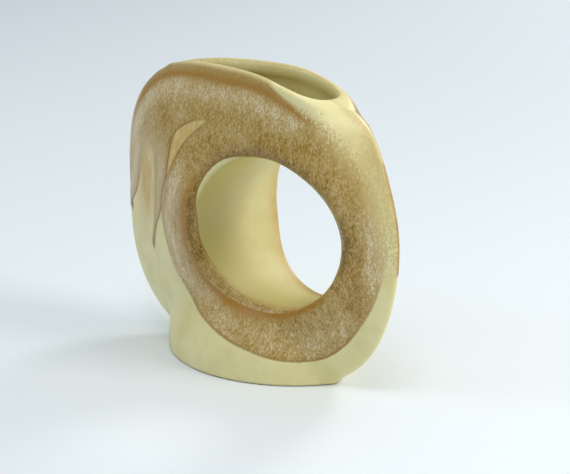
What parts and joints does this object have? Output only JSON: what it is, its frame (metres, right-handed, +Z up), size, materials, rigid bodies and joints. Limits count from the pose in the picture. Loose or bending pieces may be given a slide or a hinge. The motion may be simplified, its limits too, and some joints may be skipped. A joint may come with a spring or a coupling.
{
  "type": "ring vase",
  "caption": "Hollow ring vase in glazed stoneware: rounded body with a wide off-centre window, a slot mouth along the top that widens to one side, and an oval foot; brown glaze runs over cream.",
  "frame": {"origin": "on the table, under the middle of the ring", "axes": "+X to the wide end of the slot, -Y the glazed front, +Z up"},
  "size_m": [0.23, 0.084, 0.181],
  "materials": {
    "glazed_stoneware": "satin cream glaze with brown running glaze on the front"
  },
  "bodies": {
    "root": {"vase_body": "glazed_stoneware"}
  },
  "joints": []
}
